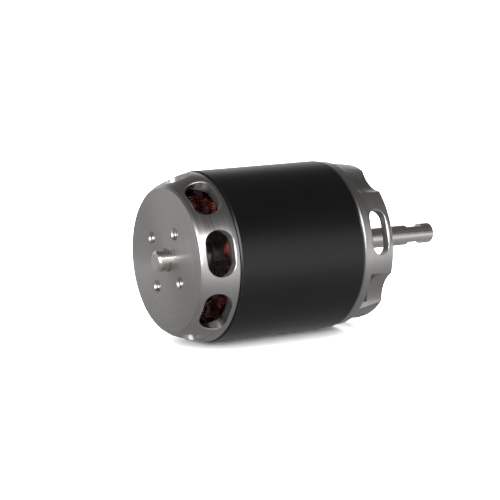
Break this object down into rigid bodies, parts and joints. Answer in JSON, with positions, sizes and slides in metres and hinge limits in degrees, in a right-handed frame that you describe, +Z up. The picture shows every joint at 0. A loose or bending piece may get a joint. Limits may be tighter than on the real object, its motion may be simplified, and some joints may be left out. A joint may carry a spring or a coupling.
{
  "type": "brushless outrunner motor",
  "caption": "Brushless outrunner motor: slotted bell and black magnet can turn round a wound stator on a fixed base, driving a long output shaft with two flats.",
  "frame": {"origin": "on the motor's axis, in the plane of the base's rear end, where the base meets what it is fastened to", "axes": "+X along the shaft towards its output end; the bell is towards -X; +Z is up with the motor lying as in the picture"},
  "size_m": [0.0545, 0.0284, 0.0284],
  "materials": {
    "machined_aluminium": "fine turned satin",
    "black_flux_ring": "satin black coating on steel",
    "ground_steel": "ground and polished",
    "black_screw_steel": "black oxide",
    "nickel_magnet": "nickel plate",
    "coated_laminations": "epoxy coated steel sheets",
    "end_insulator": "moulded",
    "enamelled_copper": "red enamelled copper wire",
    "bearing_brass": "pressed brass cage with steel balls",
    "grommet_rubber": "matt"
  },
  "bodies": {
    "stator": {"base": "machined_aluminium", "bearing_tube": "machined_aluminium", "stator_stack": "coated_laminations", "front_stator_insulator": "end_insulator", "rear_stator_insulator": "end_insulator", "lead_grommet": "grommet_rubber", "front_bearing_outer_race": "ground_steel", "front_bearing_shield": "ground_steel", "rear_bearing_outer_race": "ground_steel", "rear_bearing_shield": "ground_steel", "coil_01": "enamelled_copper", "coil_02": "enamelled_copper", "coil_03": "enamelled_copper", "coil_04": "enamelled_copper", "coil_05": "enamelled_copper", "coil_06": "enamelled_copper", "coil_07": "enamelled_copper", "coil_08": "enamelled_copper", "coil_09": "enamelled_copper", "coil_10": "enamelled_copper", "coil_11": "enamelled_copper", "coil_12": "enamelled_copper"},
    "rotor": {"bell": "machined_aluminium", "flux_ring": "black_flux_ring", "shaft": "ground_steel", "grub_screw_1": "black_screw_steel", "grub_screw_2": "black_screw_steel", "thrust_washer": "ground_steel", "shaft_retaining_clip": "black_screw_steel", "front_bearing_inner_race": "ground_steel", "rear_bearing_inner_race": "ground_steel", "magnet_01": "nickel_magnet", "magnet_02": "nickel_magnet", "magnet_03": "nickel_magnet", "magnet_04": "nickel_magnet", "magnet_05": "nickel_magnet", "magnet_06": "nickel_magnet", "magnet_07": "nickel_magnet", "magnet_08": "nickel_magnet", "magnet_09": "nickel_magnet", "magnet_10": "nickel_magnet", "magnet_11": "nickel_magnet", "magnet_12": "nickel_magnet", "magnet_13": "nickel_magnet", "magnet_14": "nickel_magnet"},
    "front_cage": {"front_bearing_cage": "bearing_brass"},
    "rear_cage": {"rear_bearing_cage": "bearing_brass"}
  },
  "joints": [
    {"name": "rotor_spin", "type": "hinge", "parent": "stator", "child": "rotor", "pos_m": [0, 0, 0], "axis": [1, 0, 0], "continuous": true},
    {"name": "front_cage_spin", "type": "hinge", "parent": "stator", "child": "front_cage", "pos_m": [-0.02785, 0, 0], "axis": [1, 0, 0], "continuous": true},
    {"name": "rear_cage_spin", "type": "hinge", "parent": "stator", "child": "rear_cage", "pos_m": [-0.00485, 0, 0], "axis": [1, 0, 0], "continuous": true}
  ],
  "couplings": [
    {"joint": "front_cage_spin", "follows": "rotor_spin", "ratio": 0.41304},
    {"joint": "rear_cage_spin", "follows": "rotor_spin", "ratio": 0.41304}
  ]
}
